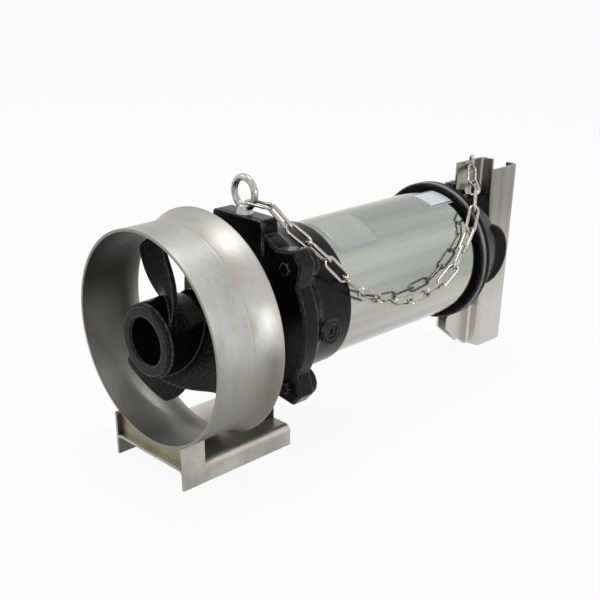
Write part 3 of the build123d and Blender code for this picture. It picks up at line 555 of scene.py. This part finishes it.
def satin_sheet(settings):
    """Rolled stainless sheet of the jet ring.

    The outside is pale with soft blotches, brown heat tints and one soft weld line in front
    of the bell. Painted shade darkens it downwards, along its very top and low on the bell.
    The inside has painted shade and light: nearly black at its top, painted pale light at its
    lower left. Both rims are a dull brown.
    """
    colour = settings.ring_colour
    weld_station, heat_middle, bell_middle, rear_rim = 0.048, 0.056, 0.072, 0.082
    finish = Finish("satin_sheet", colour, 0.95, settings.roughness)
    grain = finish.noise(finish.round_the_shaft(3.0, 900.0), 1.0, 4.0, 0.6)
    clouds = finish.noise(finish.mapped((1, 1.6, 1)), 13.0, 5.0, 0.62)
    patches = finish.noise(finish.place, 34.0, 4.0, 0.6)
    scuffs = finish.noise(finish.mapped((40, 220, 40)), 1.0, 6.0, 0.7)
    dark, pale = times(colour, 0.80), times(colour, 1.10)
    # painted shade: the tone that the outside darkens towards
    shade = times(colour, (0.34, 0.33, 0.30))

    mottled = finish.blend(finish.steps(clouds, 0.36, 0.64), dark, pale)
    heat = finish.both(finish.near_station(heat_middle, 0.034),
                       finish.steps(patches, 0.40, 0.64, 0, 0.75))
    tinted = finish.blend(heat, mottled, times(colour, (0.86, 0.72, 0.58)))
    weld = finish.near_station(weld_station, 0.0024)
    lined = finish.blend(finish.both(weld, 0.6), tinted, dark)
    # painted shade, darker downwards on the outside
    lowered = finish.blend(finish.at_level(-0.08, 0.05, 1, 0), lined, shade)
    # painted shade low on the front of the bell and along the very top
    bell = finish.both(finish.near_station(bell_middle, 0.024),
                       finish.at_level(-0.006, 0.016, 0.8, 0))
    top = finish.at_level(0.108, 0.119, 0, 0.3)
    outer = finish.blend(finish.math("MAXIMUM", bell, top), lowered, shade)

    # inside: painted light, pale at the lower left, and painted shade, nearly black at the top
    left = finish.both(finish.steps(finish.part(finish.place, "X"), -0.10, -0.01, 1, 0),
                       finish.at_level(-0.03, 0.05, 1, 0))
    low = finish.blend(left, times(colour, 0.42), times(colour, 2.0))
    inner = finish.blend(finish.at_level(-0.07, 0.075), low, times(colour, 0.05))

    outside = finish.facing_out()
    rims = finish.math("MAXIMUM", finish.near_station(0.0, 0.0016),
                       finish.near_station(rear_rim, 0.0018))
    finish.tint(finish.both(rims, 0.8), finish.blend(outside, inner, outer),
                times(colour, (0.66, 0.56, 0.48)))
    spread = finish.steps(clouds, 0.3, 0.7, settings.roughness - 0.05, settings.roughness + 0.06)
    finish.rough(finish.math("ADD", spread, finish.steps(scuffs, 0.55, 0.75, 0, 0.08)))
    finish.relief(grain, 0.00012, 0.35)
    finish.relief(finish.both(weld, outside), 0.0003, 0.6)
    finish.relief(clouds, 0.0012, 0.25)
    return finish.material


def brushed_sheet(settings, name, colour):
    """Brushed sheet of the foot, with long fine strokes along the shaft and dull patches.

    The rounded folds behind the ring's front are paler with a painted highlight, and the face
    of the left wall that looks to the shaft is darkened with painted shade.
    """
    finish = Finish(name, colour, 0.9, settings.roughness)
    finish.soft_edges(0.001)
    strokes = finish.noise(finish.mapped((500, 14, 500)), 1.0, 3.0, 0.6)
    clouds = finish.noise(finish.place, 20.0, 5.0, 0.62)
    dark, pale = times(colour, 0.74), times(colour, 1.12)
    mottled = finish.blend(finish.steps(clouds, 0.36, 0.64), dark, pale)
    # painted highlight on the rounded folds behind the ring's front
    behind = finish.steps(finish.part(finish.place, "Y"), RING_FRONT + 0.03, RING_FRONT + 0.04)
    fold_highlight = finish.both(behind, finish.at_level(-0.138, -0.126))
    folded = finish.blend(fold_highlight, mottled, times(colour, 1.9))
    # painted shade on the face of the left wall that looks to the shaft
    normal = finish.add("ShaderNodeTexCoord").outputs["Normal"]
    left_wall_shade = finish.both(finish.steps(finish.part(normal, "X"), 0.5, 0.9),
                            finish.steps(finish.part(finish.place, "X"), -0.06, -0.05, 1, 0))
    finish.tint(left_wall_shade, folded, times(colour, 0.15))
    finish.rough(finish.math("ADD", finish.steps(clouds, 0.3, 0.7, 0.32, 0.42),
                             finish.steps(strokes, 0.3, 0.7, -0.05, 0.07)))
    finish.relief(strokes, 0.0001, 0.35)
    return finish.material


def folded_sheet(settings):
    """Folded sheet of the rail bracket.

    It has upright light and dark bands of painted reflection, strokes from the rolling, and
    painted light that makes it paler towards its foot.
    """
    colour = settings.foot_colour
    finish = Finish("folded_sheet", colour, 0.95, 0.3)
    finish.soft_edges(0.001)
    # painted reflection: the upright light and dark bands
    bands = finish.noise(finish.mapped((60, 60, 1.2)), 1.0, 3.0, 0.6)
    strokes = finish.noise(finish.mapped((900, 900, 12)), 1.0, 3.0, 0.6)
    dark, pale = times(colour, 0.52), times(colour, 0.9)
    banded = finish.blend(finish.steps(bands, 0.34, 0.66), dark, pale)
    # painted light: paler towards its foot
    finish.tint(finish.at_level(-0.10, 0.05, 0.7, 0), banded, times(colour, (1.6, 1.6, 1.66)))
    finish.rough(finish.steps(bands, 0.3, 0.7, 0.22, 0.36))
    finish.relief(strokes, 0.0001, 0.35)
    return finish.material


def polished_tube(settings):
    """Polished tube: broad soft bands along the shaft, faint draw lines and shallow waves.

    Painted shade dims it along its top and its underside, a warm painted highlight lies along
    a strip below the middle, and the broad soft bands are painted reflections.
    """
    colour = settings.tube_colour
    finish = Finish("polished_tube", colour, 1.0, settings.polish)
    # painted reflection: the broad soft bands
    bands = finish.noise(finish.round_the_shaft(2.6, 2.2), 1.0, 2.0, 0.5)
    lines = finish.noise(finish.round_the_shaft(26.0, 2.0), 1.0, 4.0, 0.6)
    waves = finish.noise(finish.round_the_shaft(2.0, 9.0), 1.0, 1.0, 0.4)
    # the third tone is painted shade for the top and the underside
    dark, pale, tube_shade = times(colour, 0.80), times(colour, 1.16), times(colour, 0.55)
    banded = finish.blend(finish.steps(bands, 0.36, 0.64), dark, pale)
    # painted shade along the top and the underside
    top_shaded = finish.blend(finish.at_level(0.068, 0.083, 0, 0.9), banded, tube_shade)
    lowered = finish.blend(finish.at_level(-0.060, -0.040, 0.5, 0), top_shaded, tube_shade)
    # painted highlight: a warm lit strip below the middle
    lit_strip = finish.both(finish.at_level(-0.018, 0.002, 1, 0), finish.at_level(-0.048, -0.032))
    strip_highlight = finish.both(lit_strip, finish.steps(bands, 0.35, 0.6, 0.2, 0.8))
    strip_lit = finish.blend(strip_highlight, lowered, times(colour, (1.26, 1.17, 1.06)))
    finish.tint(finish.steps(lines, 0.35, 0.7, 0, 0.3), strip_lit, dark)
    finish.rough(finish.steps(lines, 0.3, 0.7, settings.polish - 0.02, settings.polish + 0.04))
    finish.relief(waves, 0.0015, 0.5)
    return finish.material


def painted_casting(settings, name, gloss, lip=None):
    """Sand-cast iron under black paint: coarse and fine grain, with duller and glossier patches.

    The gloss is the paint's index of refraction. Painted highlights lie on the edges, in specks.
    A lip is the station of a rim with a painted highlight along it.
    """
    paint, edge = settings.paint_colour, settings.edge_highlight_colour
    finish = Finish(name, paint, 0.0, settings.roughness)
    finish.shader.inputs["IOR"].default_value = gloss
    edges = finish.soft_edges(settings.bevel)
    coarse = finish.noise(finish.place, 150.0, 3.0, 0.6)
    fine = finish.noise(finish.place, 520.0, 2.0, 0.5)
    patches = finish.noise(finish.place, 22.0, 3.0, 0.5)
    mottled = finish.blend(finish.steps(patches, 0.4, 0.66), paint, times(paint, 2.2))
    # painted highlight along the edges, in specks
    thin = finish.both(edges, finish.steps(coarse, 0.42, 0.62, 0.15, 1))
    colour = finish.tint(thin, mottled, edge)
    if lip is not None:
        # painted highlight along the rear cover's rim, patchy
        rim = finish.both(finish.near_station(lip, 0.0035), finish.facing_out())
        highlighted = finish.both(rim, finish.steps(patches, 0.35, 0.6, 0.6, 1))
        finish.tint(highlighted, colour, settings.rim_highlight_colour)
    finish.rough(finish.steps(patches, 0.3, 0.7,
                              settings.roughness - 0.12, settings.roughness + 0.1))
    finish.relief(coarse, settings.grain, 0.7)
    finish.relief(fine, settings.grain * 0.4, 0.5)
    return finish.material


def glossy_casting(settings):
    """Propeller under thick glossy paint, with coarse grain under it.

    Painted highlights lie on the edges, and painted glints in fine specks on the blades, which
    start where the distance from the shaft passes the hub's radius.
    """
    paint, edge = settings.paint_colour, settings.edge_highlight_colour
    finish = Finish("glossy_casting", paint, 0.0, settings.blade_roughness)
    finish.shader.inputs["IOR"].default_value = settings.blade_gloss
    edges = finish.soft_edges(settings.bevel)
    coarse = finish.noise(finish.place, 330.0, 2.0, 0.5)
    specks = finish.noise(finish.place, 760.0, 2.0, 0.6)
    patches = finish.noise(finish.place, 26.0, 3.0, 0.5)
    mottled = finish.blend(finish.steps(patches, 0.35, 0.7), paint, times(paint, 1.7))
    # painted highlight along the edges, in specks
    thin = finish.both(edges, finish.steps(coarse, 0.36, 0.56, 0.15, 1))
    edge_glinted = finish.blend(thin, mottled, edge)
    off_hub = finish.steps(finish.vector("LENGTH", finish.from_shaft()), 0.045, 0.055)
    # painted glints in fine specks on the blades
    speck_glints = finish.both(finish.steps(specks, 0.48, 0.66), off_hub)
    finish.tint(speck_glints, edge_glinted, times(edge, 0.3))
    finish.rough(finish.steps(patches, 0.3, 0.7,
                              settings.blade_roughness - 0.05, settings.blade_roughness + 0.1))
    finish.relief(coarse, settings.grain * 1.2, 0.9)
    return finish.material


def bright_wire(settings):
    """Bright stainless of the chain, the eye and the bolts: slightly uneven, with dull spots."""
    finish = Finish("bright_wire", settings.colour, 1.0, settings.roughness)
    spots = finish.noise(finish.place, 320.0, 3.0, 0.6)
    dark = times(settings.colour, 0.62)
    finish.tint(finish.steps(spots, 0.38, 0.7, 1, 0), dark, settings.colour)
    finish.rough(finish.steps(spots, 0.3, 0.7,
                              settings.roughness - 0.05, settings.roughness + 0.12))
    finish.relief(spots, 0.0002, 0.3)
    return finish.material


def inset_line(finish, near, far, blur):
    """One on a line between two distances from a patch's edge, fading over the blur."""
    inset = finish.add("ShaderNodeAttribute", attribute_name="inset").outputs["Fac"]
    return finish.both(finish.steps(inset, near, near + blur),
                       finish.steps(inset, far - blur, far, 1, 0))


def bare_label(settings):
    """Blank white label: faintly mottled, with a thin dark line inside its edge."""
    colour = settings.label_colour
    finish = Finish("bare_label", colour, 0.0, 0.35)
    mottle = finish.noise(finish.place, 90.0, 3.0, 0.6)
    white = finish.blend(finish.steps(mottle, 0.3, 0.7), times(colour, 0.93), colour)
    finish.tint(inset_line(finish, 0.0010, 0.0035, 0.0005), white, (0.05, 0.06, 0.08))
    finish.rough(finish.steps(mottle, 0.3, 0.7, 0.28, 0.42))
    return finish.material


def bare_plate(settings):
    """Blank satin data plate: brushed round the tube, with a thin etched frame."""
    colour = settings.plate_colour
    finish = Finish("bare_plate", colour, 0.9, 0.35)
    strokes = finish.noise(finish.round_the_shaft(3.0, 900.0), 1.0, 3.0, 0.6)
    dull, pale = times(colour, 0.86), times(colour, 1.08)
    brushed = finish.blend(finish.steps(strokes, 0.3, 0.7), dull, pale)
    etched = inset_line(finish, 0.0020, 0.0030, 0.0003)
    finish.tint(finish.both(etched, 0.35), brushed, (0.08, 0.08, 0.08))
    finish.rough(finish.steps(strokes, 0.3, 0.7, 0.28, 0.4))
    finish.relief(strokes, 0.0001, 0.3)
    return finish.material


def plain_metal(name, colour, metallic, roughness, scale, spread):
    """A metal, rubber or plastic of the inner parts, mottled at its own scale."""
    finish = Finish(name, colour, metallic, roughness)
    mottle = finish.noise(finish.place, scale, 4.0, 0.6)
    finish.tint(finish.steps(mottle, 0.3, 0.7), times(colour, 1 - spread), colour)
    finish.rough(finish.steps(mottle, 0.3, 0.7, max(0.05, roughness - 0.08), roughness + 0.08))
    finish.relief(mottle, 0.0002, 0.3)
    return finish.material


class MIXER_OT_sheet_metal(bpy.types.Operator):
    """Finish the jet ring, the foot and the rail bracket's sheets"""
    bl_idname = "mixer.sheet_metal"
    bl_label = "Sheet metal"

    def execute(self, context):
        settings = context.scene.mixer_sheet
        dress("jet_ring", satin_sheet(settings))
        brushed = brushed_sheet(settings, "brushed_sheet", settings.foot_colour)
        mill = brushed_sheet(settings, "mill_sheet", settings.plate_colour)
        folded = folded_sheet(settings)
        for node, material in (("foot_channel", brushed), ("foot_cross_plate", mill),
                               ("rail_sheet_right", folded), ("rail_sheet_left", folded)):
            dress(node, material)
        return {"FINISHED"}


class MIXER_OT_motor_tube(bpy.types.Operator):
    """Polish the motor tube"""
    bl_idname = "mixer.motor_tube"
    bl_label = "Motor tube"

    def execute(self, context):
        dress("motor_tube", polished_tube(context.scene.mixer_sheet))
        return {"FINISHED"}


class MIXER_OT_plates(bpy.types.Operator):
    """Lay the blank label and the blank data plate on the motor tube"""
    bl_idname = "mixer.plates"
    bl_label = "Label and data plate"

    def execute(self, context):
        settings = context.scene.mixer_plates
        tube_patch("label", settings.label_start, settings.label_length, settings.label_turns,
                   bare_label(settings))
        tube_patch("data_plate", settings.plate_start, settings.plate_length,
                   settings.plate_turns, bare_plate(settings))
        return {"FINISHED"}


class MIXER_OT_castings(bpy.types.Operator):
    """Paint the covers, the oil housing and the propeller black"""
    bl_idname = "mixer.castings"
    bl_label = "Castings"

    def execute(self, context):
        settings = context.scene.mixer_cast
        painted = painted_casting(settings, "painted_casting", settings.gloss)
        for node in ("front_cover", "oil_housing", "oil_plug", "flange_bolts"):
            dress(node, painted)
        rear = painted_casting(settings, "rear_casting", settings.rear_gloss, settings.rim_highlight_start)
        dress("rear_cover", rear)
        dress("propeller", glossy_casting(settings))
        return {"FINISHED"}


class MIXER_OT_chain(bpy.types.Operator):
    """Make the round links of the lifting chain and finish the eye bolt and the fasteners"""
    bl_idname = "mixer.chain"
    bl_label = "Chain and fasteners"

    def execute(self, context):
        settings = context.scene.mixer_chain
        wire = bright_wire(settings)
        for node in ("chain_links", "eye_link"):
            link_piece(node, wire, settings)
        for node in ("eye_bolt", "tab_ring", "foot_bolts", "rail_bolts", "rail_nuts",
                     "propeller_bolt", "propeller_washer"):
            dress(node, wire)
        return {"FINISHED"}


class MIXER_OT_inner_works(bpy.types.Operator):
    """Finish the parts inside the housings and the cable inlet"""
    bl_idname = "mixer.inner_works"
    bl_label = "Inner works"

    def execute(self, context):
        for nodes, name, colour, metallic, roughness, scale, spread in INNER_FINISHES:
            material = plain_metal(name, colour, metallic, roughness, scale, spread)
            for node in nodes:
                dress(node, material)
        return {"FINISHED"}


def lamp(name, place, side, watts):
    """A square soft lamp at a place, aimed at the lamps' target."""
    data = bpy.data.lights.new(name, "AREA")
    data.energy = watts
    data.size = side
    lit = bpy.data.objects.new(name, data)
    lit.location = place
    aim = Vector(LAMP_TARGET) - Vector(place)
    lit.rotation_euler = aim.to_track_quat("-Z", "Y").to_euler()
    bpy.context.scene.collection.objects.link(lit)


def white_to_camera(tree, surface, output):
    """Camera, glossy and transmitted rays see plain white, and all others see the surface."""
    path = tree.nodes.new("ShaderNodeLightPath")
    seen = path.outputs["Is Camera Ray"]
    for ray in ("Is Glossy Ray", "Is Transmission Ray"):
        either = tree.nodes.new("ShaderNodeMath")
        either.operation = "MAXIMUM"
        tree.links.new(seen, either.inputs[0])
        tree.links.new(path.outputs[ray], either.inputs[1])
        seen = either.outputs[0]
    background = surface.bl_idname == "ShaderNodeBackground"
    white = tree.nodes.new("ShaderNodeBackground" if background else "ShaderNodeEmission")
    white.inputs["Color"].default_value = (1, 1, 1, 1)
    white.inputs["Strength"].default_value = 1.0
    mix = tree.nodes.new("ShaderNodeMixShader")
    for number, socket in enumerate((seen, surface.outputs[0], white.outputs[0])):
        tree.links.new(socket, mix.inputs[number])
    tree.links.new(mix.outputs[0], output.inputs["Surface"])
    return mix


class MIXER_OT_stage(bpy.types.Operator):
    """Set the pale floor, the soft lamps, the white background and the camera"""
    bl_idname = "mixer.stage"
    bl_label = "Stage"

    def execute(self, context):
        settings = context.scene.mixer_stage
        self.set_world(context.scene, settings)
        self.set_floor(settings)
        for name, place, side, watts in LAMPS:
            lamp(name, place, side, watts)
        self.set_camera(context.scene, settings)
        return {"FINISHED"}

    def set_world(self, scene, settings):
        world = bpy.data.worlds.new("studio")
        world.use_nodes = True
        scene.world = world
        tree = world.node_tree
        soft = tree.nodes["Background"]
        soft.inputs["Color"].default_value = (1, 1, 1, 1)
        soft.inputs["Strength"].default_value = settings.surround
        white_to_camera(tree, soft, tree.nodes["World Output"])
        scene.view_settings.view_transform = "Standard"

    def set_floor(self, settings):
        """A flat square that shows its own shading for a small share, and white for the rest."""
        half = settings.floor_size / 2
        corners = np.array([(-half, -half, 0), (half, -half, 0), (half, half, 0), (-half, half, 0)])
        mesh = bpy.data.meshes.new("floor")
        mesh.from_pydata(corners.tolist(), [], [(0, 1, 2, 3)])
        material = bpy.data.materials.new("pale_floor")
        material.use_nodes = True
        tree = material.node_tree
        matt = tree.nodes["Principled BSDF"]
        matt.inputs["Base Color"].default_value = (*settings.floor_colour, 1)
        matt.inputs["Roughness"].default_value = 0.9
        matt.inputs["Specular IOR Level"].default_value = 0.0
        output = tree.nodes["Material Output"]
        shown = white_to_camera(tree, matt, output)
        share = tree.nodes.new("ShaderNodeMixShader")
        share.inputs[0].default_value = settings.floor_white
        tree.links.new(matt.outputs[0], share.inputs[1])
        tree.links.new(shown.outputs[0], share.inputs[2])
        tree.links.new(share.outputs[0], output.inputs["Surface"])
        mesh.materials.append(material)
        floor = bpy.data.objects.new("floor", mesh)
        bpy.context.scene.collection.objects.link(floor)

    def set_camera(self, scene, settings):
        """Puts the camera back from its aim, and turns it by its roll about its line of sight."""
        turn, lift, roll = settings.azimuth, settings.elevation, settings.roll
        back = Vector((np.sin(turn) * np.cos(lift), -np.cos(turn) * np.cos(lift), np.sin(lift)))
        right = Vector((np.cos(turn), np.sin(turn), 0))
        up = back.cross(right)
        rolled_right = np.cos(roll) * right + np.sin(roll) * up
        rolled_up = np.cos(roll) * up - np.sin(roll) * right
        data = bpy.data.cameras.new("camera")
        data.sensor_width = 36.0
        data.lens = settings.focal_pixels / PHOTO_PIXELS * data.sensor_width
        data.shift_x, data.shift_y = settings.shift
        data.clip_end = 100.0
        camera = bpy.data.objects.new("camera", data)
        axes = Matrix((rolled_right, rolled_up, back)).transposed()
        place = Vector(settings.aim) + settings.distance * back
        camera.matrix_world = Matrix.Translation(place) @ axes.to_4x4()
        scene.collection.objects.link(camera)
        scene.camera = camera


class MIXER_PT_panel(bpy.types.Panel):
    """Lists the steps that dress the mixer"""
    bl_label = "Mixer"
    bl_idname = "MIXER_PT_panel"
    bl_space_type = "VIEW_3D"
    bl_region_type = "UI"
    bl_category = "Mixer"

    def draw(self, context):
        for step in STEPS:
            self.layout.operator(step.bl_idname)
        for name in SETTINGS:
            group = getattr(context.scene, name)
            box = self.layout.box()
            for key in group.__annotations__:
                box.prop(group, key)


STEPS = (MIXER_OT_sheet_metal, MIXER_OT_motor_tube, MIXER_OT_plates, MIXER_OT_castings,
         MIXER_OT_chain, MIXER_OT_inner_works, MIXER_OT_stage)
SETTINGS = {
    "mixer_sheet": MixerSheetSettings,
    "mixer_plates": MixerPlateSettings,
    "mixer_cast": MixerCastSettings,
    "mixer_chain": MixerChainSettings,
    "mixer_stage": MixerStageSettings,
}


def register():
    for name, group in SETTINGS.items():
        bpy.utils.register_class(group)
        setattr(bpy.types.Scene, name, PointerProperty(type=group))
    for step in STEPS:
        bpy.utils.register_class(step)
    bpy.utils.register_class(MIXER_PT_panel)


def unregister():
    bpy.utils.unregister_class(MIXER_PT_panel)
    for step in reversed(STEPS):
        bpy.utils.unregister_class(step)
    for name, group in reversed(SETTINGS.items()):
        delattr(bpy.types.Scene, name)
        bpy.utils.unregister_class(group)


def main():
    register()
    bpy.ops.mixer.sheet_metal()
    bpy.ops.mixer.motor_tube()
    bpy.ops.mixer.plates()
    bpy.ops.mixer.castings()
    bpy.ops.mixer.chain()
    bpy.ops.mixer.inner_works()
    bpy.ops.mixer.stage()


if __name__ == "__main__":
    main()
